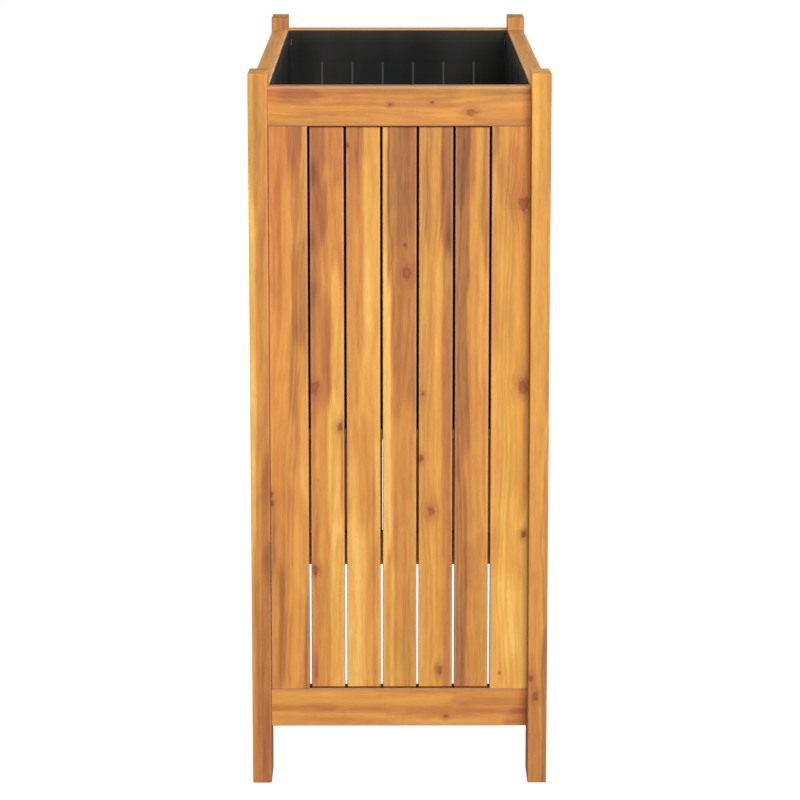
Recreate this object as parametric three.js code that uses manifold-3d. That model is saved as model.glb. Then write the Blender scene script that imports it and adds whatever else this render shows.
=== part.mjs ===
// Oblong wooden planter: four plank posts, slatted walls, a boarded base and a fabric liner.
// Millimetres, +Z up, origin on the floor under the middle. X runs across the narrow ends and Y along
// the long sides. The front is the narrow end at -Y, and left is -X.
import * as THREE from "three";
import { mergeVertices } from "three/addons/utils/BufferGeometryUtils.js";
import Module from "manifold-3d";

const wasm = await Module();
wasm.setup();

// Overall size, over the posts
const planterWidth = 310;
const planterLength = 790;
const planterHeight = 750;

// Posts: planks whose broad faces look along X
const postThickness = 20;
const postReturn = 18; // how far a post runs on behind the end panel

// Rails
const railHeight = 41;
const topRailDrop = 15; // top of the rails below the tops of the posts
const bottomRailLift = 57; // underside of the bottom rails above the floor
const endRailThickness = 20;
const endRailSetback = 19; // behind the narrow faces of the posts
const sideRailSetback = 1; // behind the broad faces of the posts

// Stiles and slats between the rails
const stileWidth = 40;
const slatThickness = 10;
const slatSetback = 3.5; // behind the outer faces of the rails
const slatGap = 2.25;
const endSlatCount = 5;
const sideSlatCount = 18;
const slatsPerSection = 3; // neighbouring slats of a long side that are made as one section

// Joints between the wooden pieces
const grooveDepth = 8;
const tenonLength = 15;
const tenonThickness = 8;
const tenonLand = 2; // wood between a tenon and the bottom of the groove beside it
const fitGap = 0.3; // all round a tongue, a tenon or a screw

// Base: boards laid across two cleats
const plantingDepth = 362; // from the top of the rails down to the boards
const baseBoardCount = 7;
const baseBoardThickness = 11;
const drainGap = 5;
const basePlay = 0.5; // between the base and the walls
const cleatWidth = 20;
const cleatHeight = 20;

// Liner
const linerThickness = 1;
const linerDrop = 2; // its rim below the top of the rails
const linerPlay = 0.3;

// Socket-head screws through the posts into the ends of the end rails
const shankDiameter = 6;
const shankLength = 50;
const tipLength = 5;
const headDiameter = 12;
const headHeight = 4;
const headRecess = 1; // head below the face of the post
const socketWidth = 5; // across the flats
const socketDepth = 2.5;

// Softened edges
const edgeBevel = 1;
const slatBevel = 0.8;

// How a cut is carried past the face that it opens, and how many sides a round hole or shank has
const cutPast = 1;
const roundSides = 16;

// Heights and faces that several pieces share
const topRailTop = planterHeight - topRailDrop;
const topRailUnderside = topRailTop - railHeight;
const bottomRailTop = bottomRailLift + railHeight;
const sideRailThickness = postThickness - sideRailSetback;
const postDepth = endRailSetback + endRailThickness + postReturn;
const cavityWidth = planterWidth - 2 * postThickness;
const cavityLength = planterLength - 2 * (endRailSetback + endRailThickness);
const sideSpan = planterLength - 2 * postDepth;
const baseTop = topRailTop - plantingDepth;
const baseUnderside = baseTop - baseBoardThickness;
const tenonShoulder = grooveDepth + tenonLand;
const counterboreDepth = headHeight + headRecess;
const screwHeights = {
  bottom: bottomRailLift + railHeight / 2,
  top: topRailUnderside + railHeight / 2,
};

// Honey to reddish brown, as boards of one timber differ
const woodTones = [0xe2a963, 0xcf9150, 0xeabb78, 0xb87a45, 0xd99c5b];
let boardsMade = 0;

function wood() {
  const color = woodTones[boardsMade % woodTones.length];
  boardsMade += 1;
  return new THREE.MeshStandardMaterial({ color, roughness: 0.6, metalness: 0, flatShading: true });
}

function fabric() {
  return new THREE.MeshStandardMaterial({ color: 0x2b2d2c, roughness: 0.95, metalness: 0 });
}

function steel() {
  return new THREE.MeshStandardMaterial({ color: 0x9b9c9a, roughness: 0.4, metalness: 0.9 });
}

// A closed geometry as a solid that can be joined and cut
function solid(geometry) {
  const bare = new THREE.BufferGeometry();
  bare.setAttribute("position", geometry.getAttribute("position"));
  bare.setIndex(geometry.getIndex());
  const merged = mergeVertices(bare, 1e-4);
  return new wasm.Manifold(
    new wasm.Mesh({
      numProp: 3,
      vertProperties: merged.getAttribute("position").array,
      triVerts: new Uint32Array(merged.getIndex().array),
    }),
  );
}

function geometryOf(body) {
  const mesh = body.getMesh();
  const geometry = new THREE.BufferGeometry();
  geometry.setAttribute("position", new THREE.BufferAttribute(mesh.vertProperties, 3));
  geometry.setIndex(new THREE.BufferAttribute(mesh.triVerts, 1));
  geometry.computeVertexNormals();
  return geometry;
}

function named(name, geometry, material) {
  const mesh = new THREE.Mesh(geometry, material);
  mesh.name = name;
  return mesh;
}

// A plain block between two opposite corners
function block(from, to) {
  const size = to.map((value, i) => Math.abs(value - from[i]));
  const middle = to.map((value, i) => (value + from[i]) / 2);
  return new THREE.BoxGeometry(...size).translate(...middle);
}

// A rectangle whose corners are cut off at 45 degrees
function cutRectangle(u0, v0, u1, v1, cut) {
  const corners = [
    [u0 + cut, v0],
    [u1 - cut, v0],
    [u1, v0 + cut],
    [u1, v1 - cut],
    [u1 - cut, v1],
    [u0 + cut, v1],
    [u0, v1 - cut],
    [u0, v0 + cut],
  ];
  return new THREE.Shape(corners.map(([u, v]) => new THREE.Vector2(u, v)));
}

// Turns a solid drawn along Z so that it runs along X or Y, with the other two axes in their turn
const axisX = new THREE.Vector3(1, 0, 0);
const axisY = new THREE.Vector3(0, 1, 0);
const axisZ = new THREE.Vector3(0, 0, 1);
const turns = {
  x: new THREE.Matrix4().makeBasis(axisY, axisZ, axisX),
  y: new THREE.Matrix4().makeBasis(axisZ, axisX, axisY),
  z: new THREE.Matrix4(),
};

// An outline drawn out along one axis, with its two ends bevelled
function drawnOut(axis, outline, from, to, endBevel) {
  const geometry = new THREE.ExtrudeGeometry(outline, {
    depth: to - from - 2 * endBevel,
    bevelEnabled: endBevel > 0,
    bevelThickness: endBevel,
    bevelSize: endBevel,
    bevelOffset: -endBevel,
    bevelSegments: 1,
  });
  geometry.translate(0, 0, from + endBevel);
  return geometry.applyMatrix4(turns[axis]);
}

// A board with its long edges bevelled, lying along one axis between two opposite corners
function board(axis, from, to, bevel, endBevel) {
  const along = { x: 0, y: 1, z: 2 }[axis];
  const u = (along + 1) % 3;
  const v = (along + 2) % 3;
  const outline = cutRectangle(from[u], from[v], to[u], to[v], bevel);
  return drawnOut(axis, outline, from[along], to[along], endBevel);
}

// A round hole along X between two places
function roundHole(radius, x0, x1, y, z) {
  const cylinder = new THREE.CylinderGeometry(radius, radius, Math.abs(x1 - x0), roundSides);
  return cylinder.rotateZ(Math.PI / 2).translate((x0 + x1) / 2, y, z);
}

// A post in its own corner: x and y are 0 at its outer faces, and inX and inY point into the planter
function post(inX, inY) {
  const x0 = Math.min(0, inX * postThickness);
  const y0 = Math.min(0, inY * postDepth);
  const far = [x0 + postThickness, y0 + postDepth, planterHeight];
  let body = solid(board("y", [x0, y0, 0], far, edgeBevel, edgeBevel));

  const tenonFace = sideRailSetback + (sideRailThickness - tenonThickness) / 2;
  for (const underside of [bottomRailLift, topRailUnderside]) {
    const mortise = block(
      [
        inX * (tenonFace - fitGap),
        inY * (postDepth + cutPast),
        underside + tenonShoulder - fitGap,
      ],
      [
        inX * (tenonFace + tenonThickness + fitGap),
        inY * (postDepth - tenonLength - fitGap),
        underside + railHeight - tenonShoulder + fitGap,
      ],
    );
    body = body.subtract(solid(mortise));
  }

  const screwY = inY * (endRailSetback + endRailThickness / 2);
  for (const z of Object.values(screwHeights)) {
    const headRadius = headDiameter / 2 + fitGap;
    const shankRadius = shankDiameter / 2 + fitGap;
    const pastOut = -inX * cutPast;
    const pastIn = inX * (postThickness + cutPast);
    const counterbore = roundHole(headRadius, pastOut, inX * counterboreDepth, screwY, z);
    const hole = roundHole(shankRadius, pastOut, pastIn, screwY, z);
    body = body.subtract(solid(counterbore)).subtract(solid(hole));
  }
  return geometryOf(body);
}

// A rail along X with its outer face at y = 0 and a groove for the slats in its inner edge
function groovedRail(length, thickness, underside, grooveUp) {
  const top = underside + railHeight;
  const rail = board("x", [-length / 2, 0, underside], [length / 2, thickness, top], edgeBevel, 0);
  const mouth = grooveUp ? top + cutPast : underside - cutPast;
  const floor = grooveUp ? top - grooveDepth : underside + grooveDepth;
  const groove = block(
    [-length / 2 - cutPast, slatSetback - fitGap, mouth],
    [length / 2 + cutPast, slatSetback + slatThickness + fitGap, floor],
  );
  return solid(rail).subtract(solid(groove));
}

// An end rail takes a screw in each of its ends
function endRail(underside, grooveUp) {
  const holeDepth = counterboreDepth + shankLength + fitGap - postThickness;
  const half = cavityWidth / 2;
  let body = groovedRail(cavityWidth, endRailThickness, underside, grooveUp);
  for (const side of [-1, 1]) {
    const hole = roundHole(
      shankDiameter / 2 + fitGap,
      side * (half + cutPast),
      side * (half - holeDepth),
      endRailThickness / 2,
      underside + railHeight / 2,
    );
    body = body.subtract(solid(hole));
  }
  return geometryOf(body);
}

// A side rail has a tenon at each end, which fits into a post
function sideRail(underside, grooveUp) {
  const half = sideSpan / 2;
  const face = (sideRailThickness - tenonThickness) / 2;
  let body = groovedRail(sideSpan, sideRailThickness, underside, grooveUp);
  for (const side of [-1, 1]) {
    const tenon = block(
      [side * (half - cutPast), face, underside + tenonShoulder],
      [
        side * (half + tenonLength),
        face + tenonThickness,
        underside + railHeight - tenonShoulder,
      ],
    );
    body = body.add(solid(tenon));
  }
  return geometryOf(body);
}

// A stile between the end rails, with a tongue at each end in their grooves; x0 is its left edge
function stile(x0) {
  const x1 = x0 + stileWidth;
  const face = board(
    "z",
    [x0, 0, bottomRailTop],
    [x1, endRailThickness, topRailUnderside],
    edgeBevel,
    0,
  );
  const tongue = board(
    "z",
    [x0, slatSetback, bottomRailTop - grooveDepth + fitGap],
    [x1, slatSetback + slatThickness, topRailUnderside + grooveDepth - fitGap],
    edgeBevel,
    0,
  );
  return geometryOf(solid(face).add(solid(tongue)));
}

// Slats beside each other from x0 on. More than one are held together by strips inside the grooves
function slats(x0, slatWidth, count) {
  const low = bottomRailTop - grooveDepth + fitGap;
  const high = topRailUnderside + grooveDepth - fitGap;
  const back = slatSetback + slatThickness;
  const pitch = slatWidth + slatGap;
  const last = x0 + (count - 1) * pitch;
  const stripHeight = (grooveDepth - fitGap) / 2;
  const strips = [
    [low, low + stripHeight],
    [high - stripHeight, high],
  ];
  let body = solid(
    board("z", [x0, slatSetback, low], [x0 + slatWidth, back, high], slatBevel, 0),
  );
  for (let i = 1; i < count; i += 1) {
    const x = x0 + i * pitch;
    const slat = board("z", [x, slatSetback, low], [x + slatWidth, back, high], slatBevel, 0);
    body = body.add(solid(slat));
  }
  if (count > 1) {
    for (const [from, to] of strips) {
      const strip = block(
        [x0 + slatWidth / 2, slatSetback + slatBevel, from],
        [last + slatWidth / 2, back - slatBevel, to],
      );
      body = body.add(solid(strip));
    }
  }
  return geometryOf(body);
}

// An end panel, seen from outside with its face at y = 0
function endPanel(side) {
  const panel = new THREE.Group();
  const half = cavityWidth / 2;
  const span = cavityWidth - 2 * stileWidth;
  const slatWidth = (span - (endSlatCount + 1) * slatGap) / endSlatCount;
  panel.add(named(side + "_top_rail", endRail(topRailUnderside, false), wood()));
  panel.add(named(side + "_bottom_rail", endRail(bottomRailLift, true), wood()));
  panel.add(named(side + "_stile_1", stile(-half), wood()));
  panel.add(named(side + "_stile_2", stile(half - stileWidth), wood()));
  for (let i = 0; i < endSlatCount; i += 1) {
    const x = -span / 2 + slatGap + i * (slatWidth + slatGap);
    panel.add(named(side + "_slat_" + (i + 1), slats(x, slatWidth, 1), wood()));
  }
  return panel;
}

// A side panel between two posts, seen from outside with its face at y = 0
function sidePanel(side) {
  const panel = new THREE.Group();
  const slatWidth = (sideSpan - (sideSlatCount + 1) * slatGap) / sideSlatCount;
  panel.add(named(side + "_top_rail", sideRail(topRailUnderside, false), wood()));
  panel.add(named(side + "_bottom_rail", sideRail(bottomRailLift, true), wood()));
  for (let first = 0; first < sideSlatCount; first += slatsPerSection) {
    const count = Math.min(slatsPerSection, sideSlatCount - first);
    const x = -sideSpan / 2 + slatGap + first * (slatWidth + slatGap);
    const section = first / slatsPerSection + 1;
    panel.add(named(side + "_slats_" + section, slats(x, slatWidth, count), wood()));
  }
  return panel;
}

function cleat() {
  const length = cavityLength - 2 * basePlay;
  return board(
    "y",
    [0, -length / 2, baseUnderside - cleatHeight],
    [cleatWidth, length / 2, baseUnderside],
    edgeBevel,
    edgeBevel,
  );
}

// The base boards lie across the planter, with gaps for water between them
function base() {
  const group = new THREE.Group();
  const half = cavityWidth / 2 - basePlay;
  const span = cavityLength - 2 * basePlay;
  const boardWidth = (span - (baseBoardCount - 1) * drainGap) / baseBoardCount;
  for (let i = 0; i < baseBoardCount; i += 1) {
    const y = -span / 2 + i * (boardWidth + drainGap);
    const from = [-half, y, baseUnderside];
    const to = [half, y + boardWidth, baseTop];
    group.add(named("base_board_" + (i + 1), board("x", from, to, edgeBevel, edgeBevel), wood()));
  }
  return group;
}

// An open bag of fabric on the base boards, against the inner faces of the rails
function liner() {
  const halfWidth = cavityWidth / 2 - linerPlay;
  const halfLength = cavityLength / 2 - linerPlay;
  const bottom = baseTop + linerPlay;
  const rim = topRailTop - linerDrop;
  const outside = block([-halfWidth, -halfLength, bottom], [halfWidth, halfLength, rim]);
  const inside = block(
    [linerThickness - halfWidth, linerThickness - halfLength, bottom + linerThickness],
    [halfWidth - linerThickness, halfLength - linerThickness, rim + cutPast],
  );
  return geometryOf(solid(outside).subtract(solid(inside)));
}

// A screw along +X: x = 0 under its head, the shank towards +X
function screw() {
  const profile = [
    [0, -headHeight],
    [headDiameter / 2, -headHeight],
    [headDiameter / 2, 0],
    [shankDiameter / 2, 0],
    [shankDiameter / 2, shankLength - tipLength],
    [0, shankLength],
  ];
  const lathe = new THREE.LatheGeometry(
    profile.map(([r, x]) => new THREE.Vector2(r, x)),
    roundSides,
  );
  const acrossCorners = socketWidth / Math.cos(Math.PI / 6);
  const socketLength = socketDepth + cutPast;
  const socket = new THREE.CylinderGeometry(acrossCorners / 2, acrossCorners / 2, socketLength, 6);
  socket.translate(0, -headHeight - cutPast + socketLength / 2, 0);
  const body = solid(lathe).subtract(solid(socket));
  return geometryOf(body).rotateZ(-Math.PI / 2);
}

const planter = new THREE.Group();

const front = endPanel("front");
front.position.set(0, endRailSetback - planterLength / 2, 0);
const back = endPanel("back");
back.position.set(0, planterLength / 2 - endRailSetback, 0);
back.rotation.z = Math.PI;
const right = sidePanel("right");
right.position.set(planterWidth / 2 - sideRailSetback, 0, 0);
right.rotation.z = Math.PI / 2;
const left = sidePanel("left");
left.position.set(sideRailSetback - planterWidth / 2, 0, 0);
left.rotation.z = -Math.PI / 2;
planter.add(front, back, left, right);

for (const [endName, endSide] of [["front", -1], ["back", 1]]) {
  for (const [sideName, side] of [["left", -1], ["right", 1]]) {
    const corner = new THREE.Group();
    const prefix = endName + "_" + sideName + "_";
    corner.position.set(side * planterWidth / 2, endSide * planterLength / 2, 0);
    corner.add(named(prefix + "post", post(-side, -endSide), wood()));
    for (const [level, z] of Object.entries(screwHeights)) {
      const mesh = named(prefix + level + "_screw", screw(), steel());
      const y = -endSide * (endRailSetback + endRailThickness / 2);
      mesh.position.set(-side * counterboreDepth, y, z);
      mesh.rotation.z = side > 0 ? Math.PI : 0;
      corner.add(mesh);
    }
    planter.add(corner);
  }
}

for (const [sideName, side] of [["left", -1], ["right", 1]]) {
  const mesh = named(sideName + "_cleat", cleat(), wood());
  mesh.position.x = side * cavityWidth / 2;
  mesh.rotation.z = side > 0 ? Math.PI : 0;
  planter.add(mesh);
}

planter.add(base());
planter.add(named("liner", liner(), fabric()));

export default planter;
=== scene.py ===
"""The looks of the wooden planter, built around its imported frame.

Oiled acacia boards with softened edges, a black fabric liner, steel screws and staples. Metres, +Z up.
The front is the narrow end at -Y, which the photograph shows, and left is -X.
"""

import math
import random
from collections import namedtuple

import bmesh
import bpy
from mathutils import Matrix, Vector, noise


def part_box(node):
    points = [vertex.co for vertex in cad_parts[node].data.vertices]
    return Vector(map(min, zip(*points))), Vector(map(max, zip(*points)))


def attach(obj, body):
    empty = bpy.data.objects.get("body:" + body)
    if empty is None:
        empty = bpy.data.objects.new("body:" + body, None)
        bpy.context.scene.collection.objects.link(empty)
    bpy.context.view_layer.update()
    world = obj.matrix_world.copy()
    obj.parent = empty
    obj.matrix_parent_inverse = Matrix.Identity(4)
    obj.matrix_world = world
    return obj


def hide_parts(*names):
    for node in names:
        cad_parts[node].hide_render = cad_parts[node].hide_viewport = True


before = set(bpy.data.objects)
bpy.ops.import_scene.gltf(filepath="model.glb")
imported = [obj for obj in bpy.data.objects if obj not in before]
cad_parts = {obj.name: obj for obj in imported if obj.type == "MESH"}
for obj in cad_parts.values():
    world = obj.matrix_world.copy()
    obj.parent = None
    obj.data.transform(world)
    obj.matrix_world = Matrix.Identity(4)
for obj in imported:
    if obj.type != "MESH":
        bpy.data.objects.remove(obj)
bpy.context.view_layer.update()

BODY = "root"
X, Y, Z = 0, 1, 2
MM = 0.001

# Camera: at the photograph's viewing angle, found from the corners of posts and rails
CAMERA_PLACE = (-0.010, -3.893, 1.077)
CAMERA_PITCH = math.radians(10.763)
CAMERA_YAW = math.radians(0.17)
CAMERA_LENS = 154.8
SENSOR_WIDTH = 36
CAMERA_REACH = 100

# The kinds of board: how far their edges are rounded, and how strong a pale highlight is painted on these
# roundings
Stock = namedtuple("Stock", "rounding paleness")
POST_STOCK = Stock(1.1 * MM, 0.12)
RAIL_STOCK = Stock(1.2 * MM, 0.40)
STILE_STOCK = Stock(1.2 * MM, 0.30)
SLAT_STOCK = Stock(1.1 * MM, 0.30)
LIP_ROUNDING = 0.3 * MM
LIP_REACH = 1.05 * LIP_ROUNDING
ARC_STEPS = 3
# How far a rounded end is drawn in, as a share of its rounding
END_DRAWN_IN = 0.85

# Spacing of the mesh across and along the boards of the front and the others
FINE_STEPS = (1.7 * MM, 7 * MM)
PLAIN_STEPS = (5 * MM, 24 * MM)
JOINT_PLAY = 0.3 * MM
NEAR = 0.01 * MM
SAME_POINT = 0.0001 * MM
NO_LENGTH = 1e-9
# A stretch longer than its steps by less than this share of one gets no step more
STEP_TOLERANCE = 0.01

# Painted shade at joints. A slat is painted dark from the rail for the first measure, and clear from the
# second on.
# The edges beside a groove get a little painted shade, and so do the sides of the slits between slats.
JOINT_SHADE = (1.0 * MM, 2.0 * MM)
MOUTH_SHADE = 0.35
SLIT_SHADE = 0.7
SLIT_SHADE_WIDTH = 0.2 * MM

# Grain: every board has its own lot of wood, a metre apart from the next in the noise that colours it.
# A streak's softness, point and wander are shares of the board's size. It fades out in the board's depth.
LOTS_IN_A_ROW = 9
MOST_KNOTS = 4
STREAK_SOFTNESS_ACROSS = 0.08
STREAK_SOFTNESS_ALONG = 0.05
STREAK_POINT = 0.035
STREAK_WANDER = 0.05
STREAK_DEPTH = 18 * MM
STREAK_FADES_OVER = 26 * MM
STREAK_DEPTH_WANDER = 9 * MM
STEADY_MOTTLE = 0.28
CHANCE_MOTTLE = 0.7
PITH_TURN = (0.15, 1.1)
PITH_AWAY = (0.045, 0.11)

# How the boards that the photograph shows look. tone goes from 0, dark brown, to 1, straw. redness is how
# much redder the wood is than chance makes it, or more golden below 0. A streak is where it starts and
# ends across the face, where it starts and ends along the board, and its change of tone. A knot is
# (across, along, radius). Across is from the left, or from below on a rail. Along is from the foot, or
# from the left on a rail. All but the radius are shares of the board.
Look = namedtuple("Look", "tone redness streaks knots", defaults=((), ()))
LOOKS = {}
LOOKS["front_left_post"] = Look(0.5, 0, [
    (0, 0.3, 0.34, 0.84, 0.36),
    (0.25, 0.5, 0.57, 0.79, 0.1),
    (0, 0.25, 0.84, 1, 0.18),
    (0, 0.15, 0.14, 0.34, 0.2),
    (0.55, 1, 0.3, 0.48, -0.2),
    (0.5, 1, 0, 0.34, -0.22),
    (0.38, 0.62, 0.74, 1, -0.07),
    (0.3, 0.45, 0, 0.28, -0.12),
])
LOOKS["front_stile_1"] = Look(0.56, 0, [
    (0.45, 0.85, 0.93, 1, -0.28),
    (0.55, 0.8, 0.82, 0.94, -0.16),
    (0, 0.33, 0.86, 1, -0.12),
    (0.2, 0.32, 0.6, 0.93, -0.07),
    (0.32, 0.55, 0.5, 0.9, 0.08),
    (0, 0.5, 0.36, 0.68, 0.08),
    (0.58, 1, 0.62, 0.8, -0.21),
    (0.5, 0.72, 0.5, 0.66, -0.18),
    (0, 0.14, 0.21, 0.36, -0.22),
    (0.18, 0.36, 0.02, 0.22, -0.2),
    (0.5, 0.83, 0, 0.3, 0.09),
    (0.88, 1, 0, 0.17, -0.24),
    (0.8, 1, 0.34, 0.54, 0.2),
    (0.6, 1, 0.17, 0.4, 0.09),
], [(0.02, 0.352, 2 * MM), (0.05, 0.336, 2.2 * MM)])
LOOKS["front_slat_1"] = Look(0.56, 0.12, [
    (0, 0.45, 0.9, 1, -0.32),
    (0.45, 1, 0.9, 1, -0.13),
    (0, 0.52, 0.79, 0.91, -0.32),
    (0, 0.35, 0.7, 0.8, -0.22),
    (0, 0.62, 0.5, 0.71, -0.14),
    (0, 0.18, 0.2, 0.8, -0.06),
    (0.2, 0.6, 0.28, 0.52, 0.07),
    (0.6, 0.92, 0.64, 0.745, 0.3),
    (0.6, 1, 0.5, 0.64, 0.22),
    (0.5, 0.88, 0.28, 0.52, 0.34),
    (0.58, 1, 0, 0.3, 0.3),
    (0.17, 0.58, 0, 0.28, 0.1),
    (0, 0.18, 0.02, 0.08, -0.24),
], [(0.14, 0.541, 4.5 * MM), (0.87, 0.472, 3 * MM), (0.12, 0.222, 3.5 * MM)])
LOOKS["front_slat_2"] = Look(0.74, 0.03, [
    (0, 0.36, 0.8, 1, -0.24),
    (0, 0.67, 0.92, 1, -0.1),
    (0.33, 0.5, 0.6, 1, -0.24),
    (0.67, 1, 0.86, 1, -0.07),
    (0, 0.34, 0.42, 0.8, -0.18),
    (0.55, 0.75, 0.57, 0.75, 0.1),
    (0.3, 0.83, 0.3, 0.48, -0.12),
    (0.83, 1, 0.36, 0.62, 0.15),
    (0.76, 0.84, 0.12, 0.4, -0.24),
    (0.85, 1, 0.14, 0.29, -0.13),
    (0, 0.55, 0, 0.3, 0.18),
    (0.76, 0.9, 0, 0.1, -0.18),
], [(0.06, 0.955, 1.8 * MM)])
LOOKS["front_slat_3"] = Look(0.42, 0, [
    (0, 1, 0.79, 1, -0.12),
    (0, 0.16, 0.735, 1, 0.56),
    (0.15, 0.22, 0.735, 1, -0.12),
    (0.45, 1, 0.72, 1, -0.12),
    (0, 0.25, 0.24, 0.735, 0.57),
    (0.25, 0.36, 0.21, 0.57, 0.13),
    (0.33, 0.6, 0.55, 0.74, -0.14),
    (0.65, 1, 0.5, 0.72, -0.09),
    (0.25, 1, 0, 0.5, 0.12),
    (0.67, 1, 0.21, 0.36, 0.08),
    (0, 0.33, 0, 0.24, 0.3),
], [(0.7, 0.737, 5 * MM), (0.66, 0.785, 2 * MM)])
LOOKS["front_slat_4"] = Look(0.65, -0.1, [
    (0, 0.17, 0.5, 1, -0.12),
    (0.17, 0.36, 0.78, 1, -0.26),
    (0.62, 1, 0.78, 1, -0.42),
    (0.7, 1, 0.22, 0.8, -0.19),
    (0.72, 1, 0, 0.22, -0.14),
    (0.45, 0.68, 0.36, 0.75, 0.14),
    (0, 0.5, 0.1, 0.3, 0.07),
    (0, 0.33, 0, 0.12, 0.12),
], [
    (0.12, 0.53, 1.6 * MM),
    (0.06, 0.417, 2.6 * MM),
    (0.37, 0.325, 4 * MM),
    (0.63, 0.044, 3.6 * MM),
])
LOOKS["front_slat_5"] = Look(0.62, 0, [
    (0, 0.14, 0.7, 1, -0.28),
    (0.14, 0.42, 0.7, 1, -0.38),
    (0, 0.6, 0.86, 1, -0.14),
    (0.8, 1, 0.75, 1, -0.22),
    (0, 0.38, 0.4, 0.7, -0.32),
    (0, 0.36, 0, 0.4, -0.3),
    (0.36, 0.5, 0.14, 0.64, -0.13),
    (0.65, 0.83, 0.55, 0.8, 0.13),
    (0.36, 1, 0, 0.28, -0.07),
])
LOOKS["front_stile_2"] = Look(0.65, 0, [
    (0, 0.17, 0.94, 1, -0.26),
    (0.17, 1, 0.8, 1, -0.08),
    (0.17, 0.83, 0.86, 0.96, -0.1),
    (0, 0.2, 0.3, 0.6, 0.12),
    (0.2, 0.7, 0.05, 0.35, 0.12),
    (0, 1, 0, 0.2, 0.16),
    (0.78, 1, 0, 0.33, 0.26),
    (0, 0.4, 0.2, 0.6, 0.07),
], [
    (0.82, 0.866, 5.5 * MM),
    (0.84, 0.546, 5.5 * MM),
    (0.87, 0.28, 2.6 * MM),
    (0.26, 0.028, 0.9 * MM),
])
LOOKS["front_right_post"] = Look(0.68, 0, [
    (0, 0.3, 0.65, 1, 0.1),
    (0.8, 1, 0.86, 1, -0.17),
    (0.8, 1, 0.5, 0.7, -0.17),
    (0.3, 1, 0.2, 0.42, -0.06),
    (0.75, 1, 0.22, 0.5, -0.17),
    (0, 0.5, 0, 0.17, -0.18),
    (0.5, 0.75, 0, 0.2, -0.18),
    (0.72, 1, 0, 0.22, -0.4),
], [(0.14, 0.152, 2.2 * MM), (0.38, 0.125, 3.2 * MM)])
LOOKS["front_top_rail"] = Look(0.57, 0, [
    (0.8, 1, 0, 1, -0.12),
    (0.5, 1, 0, 0.72, -0.14),
    (0.6, 0.95, 0.05, 0.19, -0.18),
    (0, 0.3, 0, 0.4, -0.08),
    (0, 0.3, 0.4, 0.78, 0.05),
    (0, 0.18, 0.78, 1, -0.12),
], [(0.55, 0.464, 1.6 * MM), (0.6, 0.624, 1.8 * MM), (0.35, 0.773, 4 * MM)])
LOOKS["front_bottom_rail"] = Look(0.62, 0.3, [
    (0.58, 0.92, 0, 0.7, 0.12),
    (0.38, 0.62, 0, 0.25, -0.17),
    (0.34, 0.5, 0.2, 1, -0.06),
    (0.85, 1, 0.4, 1, -0.12),
    (0.55, 0.85, 0.72, 1, -0.1),
    (0, 0.45, 0.92, 1, -0.24),
], [(0.26, 0.683, 2.2 * MM)])
LOOKS["back_left_post"] = Look(0.34, -0.25)
LOOKS["back_right_post"] = Look(0.44, -0.25, [(0, 0.4, 0, 1, 0.08)])
LOOKS["back_top_rail"] = Look(0.64, 0, [(0, 1, 0.5, 1, -0.06)])
LOOKS["left_top_rail"] = Look(0.71, 0.2, [(0.3, 0.7, 0.1, 0.5, -0.12)], [(0.8, 0.3, 2 * MM)])
LOOKS["right_top_rail"] = Look(0.65, 0.14, [(0, 0.5, 0.4, 1, 0.1)], [(0.9, 0.2, 2 * MM)])


# Node trees


def srgb(red, green, blue):
    """A colour given from 0 to 255 as on screen, as the linear values that nodes take."""

    def linear(value):
        share = value / 255
        return share / 12.92 if share <= 0.04045 else ((share + 0.055) / 1.055) ** 2.4

    return (linear(red), linear(green), linear(blue), 1.0)


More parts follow.
